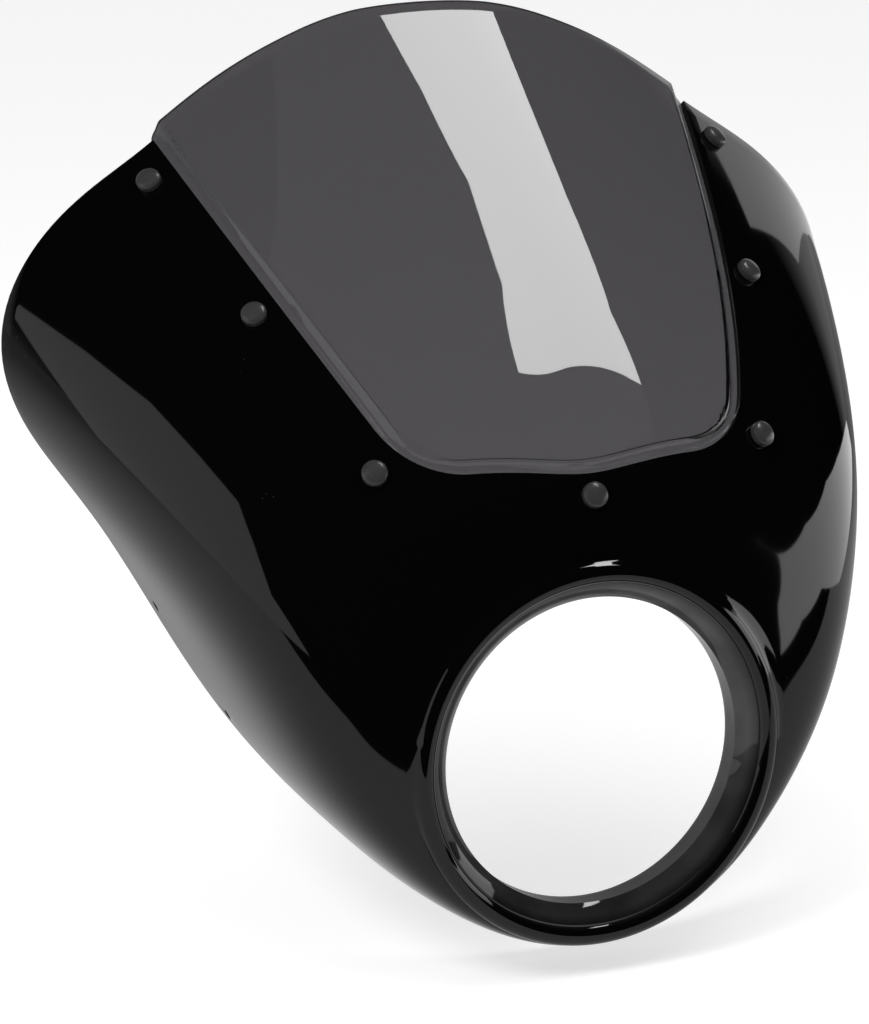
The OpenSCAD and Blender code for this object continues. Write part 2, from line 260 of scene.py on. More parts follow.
def seat_matrix(surface: BodySurface, s: float, v: float, side: int) -> Matrix:
    """Returns the placing of a thing seated on the surface, in metres, +Z outwards."""
    p, n = surface.frame_at(s, v)
    normal = Vector((side * n[0], n[1], n[2]))
    turn = normal.to_track_quat("Z", "Y").to_matrix().to_4x4()
    return Matrix.Translation(Vector((side * p[0], p[1], p[2])) * MM) @ turn


def deselect() -> None:
    """Leaves nothing selected, so that an operator acts on new pieces only."""
    if bpy.context.mode != "OBJECT":
        bpy.ops.object.mode_set(mode="OBJECT")
    bpy.ops.object.select_all(action="DESELECT")


def make_active(obj: bpy.types.Object) -> None:
    """Selects one object alone and makes it the active one."""
    deselect()
    obj.select_set(True)
    bpy.context.view_layer.objects.active = obj


def apply_modifier(obj: bpy.types.Object, kind: str, **settings: object) -> None:
    """Adds a modifier with its settings and applies it."""
    make_active(obj)
    mod = obj.modifiers.new(kind.lower(), kind)
    for key, value in settings.items():
        setattr(mod, key, value)
    bpy.ops.object.modifier_apply(modifier=mod.name)


def sheet_from_points(name: str, points: np.ndarray) -> bpy.types.Object:
    """Adds a grid primitive and shapes it to rows of points.

    Args:
        name: the object's name.
        points: rows by columns by 3, in millimetres.

    Returns:
        The shaped object, at the origin.
    """
    rows, columns = points.shape[:2]
    deselect()
    bpy.ops.mesh.primitive_grid_add(x_subdivisions=columns - 1, y_subdivisions=rows - 1, size=1)
    obj = bpy.context.active_object
    obj.name = name
    obj.data.vertices.foreach_set("co", (points * MM).astype(np.float32).ravel())
    obj.data.update()
    return obj


def drill(obj: bpy.types.Object, placings: Sequence[Matrix], radius: float, depth: float) -> None:
    """Bores round holes through a piece.

    Args:
        obj: the piece.
        placings: one placing for each hole, +Z along its axis.
        radius: the holes' radius in metres.
        depth: length of each cutter, in metres, centred on its placing.
    """
    cutters = []
    for placing in placings:
        deselect()
        bpy.ops.mesh.primitive_cylinder_add(vertices=CUTTER_SIDES, radius=radius, depth=depth)
        cutter = bpy.context.active_object
        cutter.data.transform(placing)
        cutters.append(cutter)
    deselect()
    for cutter in cutters:
        cutter.select_set(True)
    bpy.context.view_layer.objects.active = cutters[0]
    bpy.ops.object.join()
    tool = bpy.context.active_object
    apply_modifier(obj, "BOOLEAN", operation="DIFFERENCE", object=tool, solver="EXACT")
    bpy.data.objects.remove(tool, do_unlink=True)


def finish_edges(obj: bpy.types.Object, width: float, segments: int = 2) -> None:
    """Rounds the sharp edges and shades the faces smooth."""
    apply_modifier(
        obj, "BEVEL", width=width, segments=segments, limit_method="ANGLE", angle_limit=BEVEL_ABOVE
    )
    make_active(obj)
    bpy.ops.object.shade_smooth_by_angle(angle=SMOOTH_BELOW)


def value_group(name: str, output: str, inputs: Sequence[tuple[str, float]]) -> bpy.types.NodeTree:
    """Starts a shader node group with named float inputs and one float output.

    Args:
        name: the group's name.
        output: the output's name.
        inputs: each input's name and starting value.

    Returns:
        The group, without nodes.
    """
    tree = bpy.data.node_groups.new(name, "ShaderNodeTree")
    for label, value in inputs:
        socket = tree.interface.new_socket(label, in_out="INPUT", socket_type="NodeSocketFloat")
        socket.default_value = value
    tree.interface.new_socket(output, in_out="OUTPUT", socket_type="NodeSocketFloat")
    return tree


class Effects:
    """Shader effects shared by the finishes, each a node group built once."""

    def __init__(self) -> None:
        """Builds the groups."""
        self.haze = self.build_haze()
        self.dust = self.build_dust()
        self.painted_sheen = self.build_painted_sheen()

    @staticmethod
    def build_haze() -> bpy.types.NodeTree:
        """Builds the uneven polish of a moulded surface: a value round a middle."""
        tree = value_group(
            "uneven_polish", "Value", [("Scale", 20), ("Middle", 0.1), ("Spread", 0.05)]
        )
        nodes, links = tree.nodes, tree.links
        given = nodes.new("NodeGroupInput")
        out = nodes.new("NodeGroupOutput")
        place = nodes.new("ShaderNodeTexCoord")
        noise = nodes.new("ShaderNodeTexNoise")
        noise.inputs["Detail"].default_value = 5
        centred = nodes.new("ShaderNodeMath")
        centred.operation = "SUBTRACT"
        centred.inputs[1].default_value = 0.5
        scaled = nodes.new("ShaderNodeMath")
        scaled.operation = "MULTIPLY_ADD"
        links.new(place.outputs["Object"], noise.inputs["Vector"])
        links.new(given.outputs["Scale"], noise.inputs["Scale"])
        links.new(noise.outputs["Fac"], centred.inputs[0])
        links.new(centred.outputs[0], scaled.inputs[0])
        links.new(given.outputs["Spread"], scaled.inputs[1])
        links.new(given.outputs["Middle"], scaled.inputs[2])
        links.new(scaled.outputs[0], out.inputs["Value"])
        return tree

    @staticmethod
    def build_dust() -> bpy.types.NodeTree:
        """Builds sparse fine specks: 1 on a speck and 0 beside it."""
        tree = value_group(
            "fine_dust", "Mask", [("Scale", 260), ("Size", 0.06), ("Rarity", 0.66)]
        )
        nodes, links = tree.nodes, tree.links
        given = nodes.new("NodeGroupInput")
        out = nodes.new("NodeGroupOutput")
        place = nodes.new("ShaderNodeTexCoord")
        cells = nodes.new("ShaderNodeTexVoronoi")
        where = nodes.new("ShaderNodeTexNoise")
        where.inputs["Scale"].default_value = 14
        small = nodes.new("ShaderNodeMath")
        small.operation = "LESS_THAN"
        rare = nodes.new("ShaderNodeMath")
        rare.operation = "GREATER_THAN"
        both = nodes.new("ShaderNodeMath")
        both.operation = "MULTIPLY"
        for texture in (cells, where):
            links.new(place.outputs["Object"], texture.inputs["Vector"])
        links.new(given.outputs["Scale"], cells.inputs["Scale"])
        links.new(cells.outputs["Distance"], small.inputs[0])
        links.new(given.outputs["Size"], small.inputs[1])
        links.new(where.outputs["Fac"], rare.inputs[0])
        links.new(given.outputs["Rarity"], rare.inputs[1])
        links.new(small.outputs[0], both.inputs[0])
        links.new(rare.outputs[0], both.inputs[1])
        links.new(both.outputs[0], out.inputs["Mask"])
        return tree


    @staticmethod
    def build_painted_sheen() -> bpy.types.NodeTree:
        """Builds a painted sheen inside a round wall along the Y axis: grey that stands in for the light
        reflected there, lighter at the top and fainter towards the bottom.
        """
        tree = value_group("collar_painted_sheen", "Mask", [("Inner", 0.087), ("Outer", 0.0935)])
        nodes, links = tree.nodes, tree.links
        given = nodes.new("NodeGroupInput")
        out = nodes.new("NodeGroupOutput")
        place = nodes.new("ShaderNodeTexCoord")
        flat = nodes.new("ShaderNodeVectorMath")
        flat.operation = "MULTIPLY"
        flat.inputs[1].default_value = (1, 0, 1)
        far = nodes.new("ShaderNodeVectorMath")
        far.operation = "LENGTH"
        ramp = nodes.new("ShaderNodeMapRange")
        ramp.inputs["To Min"].default_value = 1
        ramp.inputs["To Max"].default_value = 0
        cloud = nodes.new("ShaderNodeTexNoise")
        cloud.inputs["Scale"].default_value = 32
        uneven = nodes.new("ShaderNodeMath")
        uneven.operation = "MULTIPLY"
        parts = nodes.new("ShaderNodeSeparateXYZ")
        # Painted light: this ramp makes the sheen lighter at the top of the opening and fainter towards the
        # bottom, following how the light falls.
        higher = nodes.new("ShaderNodeMapRange")
        higher.inputs["From Min"].default_value = -0.08
        higher.inputs["From Max"].default_value = 0.08
        higher.inputs["To Min"].default_value = 0.25
        level = nodes.new("ShaderNodeMath")
        level.operation = "MULTIPLY"
        links.new(place.outputs["Object"], flat.inputs[0])
        links.new(place.outputs["Object"], cloud.inputs["Vector"])
        links.new(flat.outputs["Vector"], far.inputs[0])
        links.new(far.outputs["Value"], ramp.inputs["Value"])
        links.new(given.outputs["Inner"], ramp.inputs["From Min"])
        links.new(given.outputs["Outer"], ramp.inputs["From Max"])
        links.new(ramp.outputs["Result"], uneven.inputs[0])
        links.new(cloud.outputs["Fac"], uneven.inputs[1])
        links.new(place.outputs["Object"], parts.inputs[0])
        links.new(parts.outputs["Z"], higher.inputs["Value"])
        links.new(uneven.outputs[0], level.inputs[0])
        links.new(higher.outputs["Result"], level.inputs[1])
        links.new(level.outputs[0], out.inputs["Mask"])
        return tree


@dataclass(frozen=True)
class Finish:
    """A surface finish made of one principled shader and the shared effects.

    Args:
        name: the material's name.
        slot: the record's material slot; not used.
        colour: base colour.
        roughness: middle of the roughness.
        spread: how far the roughness varies.
        scale: size of the variation's pattern.
        metallic: 1 for bare metal.
        transmission: 1 for a clear body.
        ior: refractive index.
        grain: height of the fine bump in metres.
        grain_scale: scale of that bump's pattern.
        dust: how much of the fine dust shows.
        painted_sheen: how much painted sheen lies inside the round opening, grey that stands in for reflected
            light there.
    """

    name: str
    slot: str
    colour: tuple[float, float, float]
    roughness: float
    spread: float
    scale: float = 20.0
    metallic: float = 0.0
    transmission: float = 0.0
    ior: float = 1.49
    grain: float = 0.0
    grain_scale: float = 900.0
    dust: float = 0.0
    painted_sheen: float = 0.0

    def build(self, effects: Effects) -> bpy.types.Material:
        """Builds the material.

        Args:
            effects: the shared node groups.

        Returns:
            The material.
        """
        material = bpy.data.materials.new(self.name)
        material.use_nodes = True
        nodes, links = material.node_tree.nodes, material.node_tree.links
        shader = nodes["Principled BSDF"]
        shader.inputs["Base Color"].default_value = (*self.colour, 1)
        shader.inputs["Metallic"].default_value = self.metallic
        shader.inputs["Transmission Weight"].default_value = self.transmission
        shader.inputs["IOR"].default_value = self.ior
        polish = nodes.new("ShaderNodeGroup")
        polish.node_tree = effects.haze
        polish.inputs["Scale"].default_value = self.scale
        polish.inputs["Middle"].default_value = self.roughness
        polish.inputs["Spread"].default_value = self.spread
        links.new(polish.outputs["Value"], shader.inputs["Roughness"])
        if self.grain:
            self.add_grain(nodes, links, shader)
        if self.dust:
            self.add_dust_and_sheen(nodes, links, shader, effects)
        return material

    def add_grain(self, nodes: bpy.types.Nodes, links: bpy.types.NodeLinks, shader: bpy.types.Node) -> None:
        """Adds the fine moulded or brushed grain."""
        place = nodes.new("ShaderNodeTexCoord")
        noise = nodes.new("ShaderNodeTexNoise")
        noise.inputs["Scale"].default_value = self.grain_scale
        bump = nodes.new("ShaderNodeBump")
        bump.inputs["Strength"].default_value = 0.5
        bump.inputs["Distance"].default_value = self.grain
        links.new(place.outputs["Object"], noise.inputs["Vector"])
        links.new(noise.outputs["Fac"], bump.inputs["Height"])
        links.new(bump.outputs["Normal"], shader.inputs["Normal"])

    def add_dust_and_sheen(
        self, nodes: bpy.types.Nodes, links: bpy.types.NodeLinks, shader: bpy.types.Node, effects: Effects
    ) -> None:
        """Adds sparse grey specks of dust over the base colour and, where the finish asks for it, a painted
        sheen of grey inside the opening that stands in for reflected light, lighter at the top.
        """
        specks = nodes.new("ShaderNodeGroup")
        specks.node_tree = effects.dust
        amount = nodes.new("ShaderNodeMath")
        amount.operation = "MULTIPLY"
        amount.inputs[1].default_value = self.dust
        mix = nodes.new("ShaderNodeMix")
        mix.data_type = "RGBA"
        mix.inputs["A"].default_value = (*self.colour, 1)
        mix.inputs["B"].default_value = (0.25, 0.25, 0.25, 1)
        # Painted light: grey mixed into the base colour inside the opening stands in for reflected light
        # there.
        if self.painted_sheen:
            sheen_layer = nodes.new("ShaderNodeGroup")
            sheen_layer.node_tree = effects.painted_sheen
            share = nodes.new("ShaderNodeMath")
            share.operation = "MULTIPLY"
            share.inputs[1].default_value = self.painted_sheen
            sheen_mix = nodes.new("ShaderNodeMix")
            sheen_mix.data_type = "RGBA"
            sheen_mix.inputs["A"].default_value = (*self.colour, 1)
            sheen_mix.inputs["B"].default_value = (0.2, 0.2, 0.2, 1)
            links.new(sheen_layer.outputs["Mask"], share.inputs[0])
            links.new(share.outputs[0], sheen_mix.inputs["Factor"])
            links.new(sheen_mix.outputs["Result"], mix.inputs["A"])
        links.new(specks.outputs["Mask"], amount.inputs[0])
        links.new(amount.outputs[0], mix.inputs["Factor"])
        links.new(mix.outputs["Result"], shader.inputs["Base Color"])


# The shell's grey sheen inside the opening is painted reflected light in its base colour; its specks are
# dust.
SHELL_GLOSS = Finish(
    "shell_gloss_black", "shell_black", (0.0012, 0.0012, 0.0014), 0.045, 0.03,
    scale=9, dust=0.3, painted_sheen=0.6,
)
SCREEN_SMOKE = Finish(
    "screen_smoke_tint", "screen_tint", (0.074, 0.071, 0.075), 0.012, 0.008,
    scale=6, transmission=1.0,
)
CAP_SATIN = Finish(
    "cap_satin_black", "cap_black", (0.03, 0.03, 0.03), 0.28, 0.08,
    scale=120, grain=0.00004, grain_scale=2600,
)
SCREW_STEEL = Finish(
    "screw_plated_steel", "screw_steel", (0.52, 0.53, 0.55), 0.28, 0.12,
    scale=240, metallic=1.0, grain=0.00003,
)
WASHER_RUBBER = Finish(
    "washer_black_rubber", "washer_rubber", (0.02, 0.02, 0.02), 0.62, 0.12,
    scale=200, grain=0.00006,
)
NUT_STEEL = Finish(
    "nut_plated_steel", "nut_steel", (0.56, 0.57, 0.58), 0.3, 0.14,
    scale=240, metallic=1.0, grain=0.00003,
)


def dress(obj: bpy.types.Object, material: bpy.types.Material) -> None:
    """Gives a new piece its material and its body."""
    obj.data.materials.clear()
    obj.data.materials.append(material)
    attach(obj, "root")


@dataclass
class CowlShell:
    """The moulded black shell with its rolled opening and its window."""

    surface: BodySurface
    wall: float = 3.0
    opening_r: float = 82.0
    flare: float = 9.2
    bead_r: float = 5.8
    window_corner: float = 30.0
    side_columns: int = 96
    corner_columns: int = 12
    top_columns: int = 20
    low_rows: int = 26
    high_rows: int = 34

    def collar_profile(self) -> list[tuple[float, float]]:
        """Returns radius and depth from the round wall's back to the start of the body."""
        centre = self.opening_r + self.flare + self.bead_r
        depth = 3.6
        wall = [(self.opening_r, 22 - 12 * k / 4) for k in range(5)]
        start = math.radians(196)
        bead = []
        for k in range(15):
            a = start + (math.radians(338) - start) * k / 14
            bead.append((centre + self.bead_r * math.cos(a), depth + self.bead_r * math.sin(a)))
        cone_start, cone_end = wall[-1], bead[0]
        cone = []
        for k in range(1, 6):
            w = k / 6
            bow = 0.7 * math.sin(math.pi * w)
            cone.append(
                (cone_start[0] + (cone_end[0] - cone_start[0]) * w - bow * 0.6,
                 cone_start[1] + (cone_end[1] - cone_start[1]) * w - bow)
            )
        return [*wall, *cone, *bead]

    def columns(self) -> list[float]:
        """Returns the grid lines of one half, from the bottom centre to the top centre."""
        w = self.surface.window_s
        reach = self.window_corner / self.surface.span_g(w + 0.03, self.surface.window_v_side)
        side = [w * i / self.side_columns for i in range(self.side_columns + 1)]
        corner = [
            w + reach * (1 - math.cos(math.pi / 2 * i / self.corner_columns))
            for i in range(1, self.corner_columns + 1)
        ]
        rest = w + reach
        top = [rest + (1 - rest) * i / self.top_columns for i in range(1, self.top_columns + 1)]
        return [*side, *corner, *top]

    def low_end(self, g: float) -> float:
        """Returns v where the lower rows end: the window's bottom edge or its corner."""
        w = self.surface.window_s
        reach = self.window_corner / self.surface.span_g(w + 0.03, self.surface.window_v_side)
        rise = self.window_corner / self.surface.span_v(w + 0.03, self.surface.window_v_side)
        g = max(g, w)
        d = min(max(1 - (g - w) / reach, 0.0), 1.0)
        return self.surface.window_bottom(g) + rise * (1 - math.sqrt(max(1 - d * d, 0.0)))

    def rows_on(self, g: float) -> list[float]:
        """Returns the rows' places on a grid line, the first row just past the lip."""
        m = self.low_end(g)
        start = 0.018
        low = [start + (m - start) * j / self.low_rows for j in range(self.low_rows + 1)]
        high = [m + (1 - m) * j / self.high_rows for j in range(1, self.high_rows + 1)]
        return [*low, *high]

    def build(self) -> bpy.types.Object:
        """Builds the shell's mesh.

        Returns:
            The shell, with its wall, holes and rounded edges.
        """
        half = self.columns()
        collar = self.collar_profile()
        rows_of = {g: self.rows_on(g) for g in half}
        around = [(g, 1) for g in half] + [(g, -1) for g in reversed(half[:-1])]
        count = len(collar) + self.low_rows + self.high_rows + 1
        points = np.zeros((count, len(around), 3))
        cache: dict[float, np.ndarray] = {}
        for g in half:
            body = np.array([self.surface.shifted(g, v, 1, 0) for v in rows_of[g]])
            angle = math.radians(self.surface.blended(self.surface.leaned(g, 0))[0])
            across, up = math.cos(angle), math.sin(angle)
            ring = np.array([(r * across, y - self.surface.setback, r * up) for r, y in collar])
            cache[g] = np.vstack([ring, body])
        for i, (g, side) in enumerate(around):
            points[:, i] = cache[g] * np.array([side, 1, 1])
        obj = sheet_from_points("shell", points)
        self.open_window(obj, len(collar), len(around), len(half))
        bpy.ops.object.mode_set(mode="EDIT")
        bpy.ops.mesh.select_all(action="SELECT")
        bpy.ops.mesh.remove_doubles(threshold=MERGE_DISTANCE)
        bpy.ops.mesh.normals_make_consistent(inside=False)
        bpy.ops.object.mode_set(mode="OBJECT")
        self.face_outwards(obj)
        apply_modifier(obj, "SOLIDIFY", thickness=self.wall * MM, offset=-1, use_even_offset=False)
        screws = [seat_matrix(self.surface, p.s, p.v, p.side.value) for p in PLACES]
        drill(obj, screws, SCREW_BORE_R, SHELL_CUTTER_LENGTH)
        brackets = [seat_matrix(self.surface, s, v, side.value) for s, v in BRACKET_HOLES for side in Side]
        drill(obj, brackets, BRACKET_BORE_R, SHELL_CUTTER_LENGTH)
        finish_edges(obj, 0.55 * MM, 3)
        return obj

    def open_window(self, obj: bpy.types.Object, collar_rows: int, across: int, half: int) -> None:
        """Deletes the faces inside the window.

        Args:
            obj: the shell's sheet.
            collar_rows: how many rows the opening's profile takes.
            across: how many columns the sheet has.
            half: how many of them lie on one half, the centre line included.
        """
        first_row = collar_rows + self.low_rows
        deselect()
        make_active(obj)
        centre = half - 1
        first = self.side_columns
        last = 2 * centre - self.side_columns
        chosen = np.zeros(len(obj.data.polygons), bool)
        for index in range(len(chosen)):
            row, column = divmod(index, across - 1)
            chosen[index] = row >= first_row and first <= column < last
        bpy.ops.object.mode_set(mode="EDIT")
        bpy.ops.mesh.select_mode(type="FACE")
        bpy.ops.mesh.select_all(action="DESELECT")
        bpy.ops.object.mode_set(mode="OBJECT")
        obj.data.polygons.foreach_set("select", chosen)
        bpy.ops.object.mode_set(mode="EDIT")
        bpy.ops.mesh.delete(type="FACE")
        bpy.ops.object.mode_set(mode="OBJECT")

    @staticmethod
    def face_outwards(obj: bpy.types.Object) -> None:
        """Turns the sheet's faces over if they point into the cowl."""
        lowest = min(obj.data.polygons, key=lambda f: f.center.y)
        if lowest.normal.y > 0:
            obj.data.flip_normals()


@dataclass
class Windscreen:
    """The tinted windscreen with a stepped flange behind the shell."""

    surface: BodySurface
    thickness: float = 3.0
    gap: float = 0.3
    wall: float = 3.0
    proud: float = 1.4
    step_width: float = 7.0
    step_inset: float = 2.2
    window_corner: float = 30.0
    flange: float = 26.0
    flange_top: float = 0.985
    corner_rise: float = 0.011
    middle: int = 40
    up: int = 60

    def fine(self) -> list[float]:
        """Returns the distances from the window's edge that get a grid line."""
        outer = [-self.flange + self.flange * i / 5 for i in range(5)]
        step = [0.75 * i for i in range(0, 16)]
        inner = [12.5, 14.5, 17, 20, 23.5, 27.5]
        return [*outer, *step, *inner]

    def top(self, g: float) -> float:
        """Returns v at the upper end of a grid line."""
        w = self.surface.window_s
        inside = smooth((g - w + 0.012) / 0.016)
        fade = smooth(1 - (g - w) / 0.11)
        return self.flange_top + inside * (1 - self.flange_top + self.corner_rise * fade)

    def lift(self, g: float, v: float) -> float:
        """Returns how far the face is lifted from the body's surface."""
        surface = self.surface
        w = surface.window_s
        x = (g - w) * surface.span_g(min(max(g, w), 0.98), v)
        y = (v - surface.window_bottom(max(g, w))) * surface.span_v(min(g, 0.98), 0.4)
        r = self.window_corner
        inside = r - math.hypot(r - x, r - y) if x < r and y < r else min(x, y)
        back = -self.wall - self.gap
        return back + (self.proud - back) * smooth((inside - self.step_inset) / self.step_width)

    def build(self) -> bpy.types.Object:
        """Builds the windscreen's mesh.

        Returns:
            The windscreen, closed and bored for its screws.
        """
        surface = self.surface
        w = surface.window_s
        fine = self.fine()
        unit = surface.span_g(w + 0.05, 0.8)
        edge = w + fine[-1] / unit
        rest = [edge + (1 - edge) * i / self.middle for i in range(1, self.middle + 1)]
        half = [w + f / unit for f in fine] + rest
        columns = []
        for g in half:
            m = surface.window_bottom(max(g, w))
            k = surface.span_v(min(g, 0.98), 0.4)
            start = m + fine[-1] / k
            end = self.top(g)
            higher = [start + (end - start) * j / self.up for j in range(1, self.up + 1)]
            rows = [m + f / k for f in fine] + higher
            columns.append(np.array([surface.shifted(g, v, 1, self.lift(g, v)) for v in rows]))
        mirrored = [c * np.array([-1, 1, 1]) for c in reversed(columns[:-1])]
        points = np.stack([*columns, *mirrored], axis=1)
        obj = sheet_from_points("screen", points)
        CowlShell.face_outwards(obj)
        apply_modifier(obj, "SOLIDIFY", thickness=self.thickness * MM, offset=-1, use_even_offset=False)
        screws = [seat_matrix(surface, p.s, p.v, p.side.value) for p in PLACES]
        drill(obj, screws, SCREW_BORE_R, SCREEN_CUTTER_LENGTH)
        finish_edges(obj, 0.4 * MM, 2)
        return obj


@dataclass
class CapSet:
    """The domed caps over the screws, modelled once and copied to each place."""

    surface: BodySurface
    radius: float = 6.8
    wall: float = 1.0
    skirt: float = 2.6
    dome: float = 3.0
    foot: float = 0.4

    def build_one(self) -> bpy.types.Object:
        """Builds one cap at the origin, +Z outwards."""
        deselect()
        bpy.ops.mesh.primitive_cylinder_add(
            vertices=56, radius=self.radius * MM, depth=self.skirt * MM, location=(0, 0, self.skirt * MM / 2)
        )
        obj = bpy.context.active_object
        obj.data.transform(obj.matrix_world)
        obj.matrix_world = Matrix.Identity(4)
        bpy.ops.object.mode_set(mode="EDIT")
        bpy.ops.mesh.select_mode(type="FACE")
        bpy.ops.mesh.select_all(action="DESELECT")
        bpy.ops.object.mode_set(mode="OBJECT")
        for face in obj.data.polygons:
            face.select = face.normal.z > 0.9
        bpy.ops.object.mode_set(mode="EDIT")
        last_r, last_z = 1.0, 0.0
        for degrees in range(9, 90, 9):
            r = math.cos(math.radians(degrees))
            z = math.sin(math.radians(degrees))
            bpy.ops.mesh.extrude_region_move(
                TRANSFORM_OT_translate={"value": (0, 0, (z - last_z) * self.dome * MM)}
            )
            bpy.ops.transform.resize(value=(r / last_r, r / last_r, 1))
            last_r, last_z = r, z
        bpy.ops.mesh.poke()
        bpy.ops.mesh.select_all(action="DESELECT")
        bpy.ops.object.mode_set(mode="OBJECT")
        for face in obj.data.polygons:
            face.select = face.normal.z < -0.9
        bpy.ops.object.mode_set(mode="EDIT")
        bpy.ops.mesh.delete(type="FACE")
        bpy.ops.object.mode_set(mode="OBJECT")
        apply_modifier(obj, "SOLIDIFY", thickness=self.wall * MM, offset=-1)
        finish_edges(obj, 0.22 * MM, 2)
        return obj

    def build(self) -> list[bpy.types.Object]:
        """Builds every cap.

        Returns:
            The caps, each with its own mesh, in the order of the places.
        """
        first = self.build_one()
        caps = []
        for place in PLACES:
            copy = first.copy()
            copy.data = first.data.copy()
            copy.name = f"dome_{place.name}"
            bpy.context.collection.objects.link(copy)
            seat = seat_matrix(self.surface, place.s, place.v, place.side.value)
            copy.data.transform(seat @ Matrix.Translation((0, 0, self.foot * MM)))
            caps.append(copy)
        bpy.data.objects.remove(first, do_unlink=True)
        return caps


def position_ramp(
    nodes: bpy.types.Nodes,
    links: bpy.types.NodeLinks,
    axis: str,
    span: tuple[float, float],
    values: tuple[float, float],
) -> bpy.types.NodeSocket:
    """Adds a ramp of values along one axis of the object.

    Args:
        nodes: the material's nodes.
        links: the material's links.
        axis: "X", "Y" or "Z".
        span: the two places between which the value changes.
        values: the value at each of them.

    Returns:
        The socket that gives the value.
    """
    place = nodes.new("ShaderNodeTexCoord")
    parts = nodes.new("ShaderNodeSeparateXYZ")
    ramp = nodes.new("ShaderNodeMapRange")
    ramp.interpolation_type = "SMOOTHSTEP"
    ramp.inputs["From Min"].default_value = span[0]
    ramp.inputs["From Max"].default_value = span[1]
    ramp.inputs["To Min"].default_value = values[0]
    ramp.inputs["To Max"].default_value = values[1]
    links.new(place.outputs["Object"], parts.inputs[0])
    links.new(parts.outputs[axis], ramp.inputs["Value"])
    return ramp.outputs["Result"]


@dataclass(frozen=True)
class Panel:
    """A lighting panel given by its corners in metres.

    Args:
        name: the object's name.
        corners: its outline in order.
        strength: its brightness.
        fade: the heights between which it brightens, and its share of brightness at the lower one.
    """

    name: str
    corners: tuple[tuple[float, float, float], ...]
    strength: float
    fade: tuple[float, float, float] | None = None

    def build(self) -> bpy.types.Object:
        """Builds the panel as one face that only reflections see."""
        deselect()
        bpy.ops.mesh.primitive_circle_add(vertices=len(self.corners), radius=1, fill_type="NGON")
        obj = bpy.context.active_object
        obj.name = self.name
        for vertex, corner in zip(obj.data.vertices, self.corners):
            vertex.co = Vector(corner)
        material = bpy.data.materials.new(self.name)
        material.use_nodes = True
        nodes, links = material.node_tree.nodes, material.node_tree.links
        nodes.clear()
        out = nodes.new("ShaderNodeOutputMaterial")
        light = nodes.new("ShaderNodeEmission")
        light.inputs["Strength"].default_value = self.strength
        links.new(light.outputs[0], out.inputs["Surface"])
        if self.fade:
            low, high, share = self.fade
            ramp = position_ramp(nodes, links, "Z", (low, high), (share * self.strength, self.strength))
            links.new(ramp, light.inputs["Strength"])
        obj.data.materials.append(material)
        obj.visible_camera = False
        obj.visible_transmission = False
        obj.visible_shadow = False
        obj.visible_diffuse = False
        return obj


PANELS: tuple[Panel, ...] = (
    Panel(
        "overhead_strip",
        (
            (0.38, 0.20, 1.72), (0.47, 0.13, 1.67), (0.54, 0.04, 1.62), (0.58, -0.10, 1.58),
            (0.58, -0.315, 1.545), (0.65, -0.315, 1.51), (0.72, -0.32, 1.475), (0.83, -0.345, 1.41),
            (0.76, -0.12, 1.50), (0.77, 0.10, 1.52), (0.81, 0.34, 1.53),
        ),
        11.0,
    ),
    Panel(
        "right_wall_strip",
        (
            (1.69, 1.16, 0.03), (1.70, 1.46, -0.28), (1.70, 1.36, -0.40), (1.55, -0.46, 0.02),
            (1.49, -0.96, -0.08), (1.43, -1.42, -0.31), (1.45, -1.26, 0.0), (1.49, -0.98, 0.32),
            (1.55, -0.52, 0.45), (1.61, 0.05, 0.44), (1.65, 0.45, 0.31),
        ),
        1.9,
    ),
    Panel(
        "left_wall",
        (
            (-1.6, 0.85, 0.50), (-1.6, 0.53, 0.80), (-1.6, 0.23, 1.01), (-1.6, -0.06, 1.02),
            (-1.6, -0.40, 0.98), (-1.6, -0.48, 0.59), (-1.6, -0.51, 0.17), (-1.6, -1.05, -0.12),
            (-1.6, -1.5, -0.12), (-1.6, 0.95, -0.12),
        ),
        0.72,
    ),
    Panel(
        "right_back_wall",
        (
            (1.46, 0.81, 0.85), (1.38, 0.93, 0.47), (1.15, 1.19, 0.15), (0.93, 1.47, -0.12),
            (0.30, 2.10, -0.12), (0.30, 1.975, 0.85),
        ),
        0.8,
    ),
    Panel(
        "collar_backing",
        ((0.11, 0.05, -0.10), (0.11, 0.05, 0.11), (-0.05, 0.05, 0.11), (-0.05, 0.05, -0.10)),
        0.9,
        fade=(-0.09, 0.09, 0.35),
    ),
)


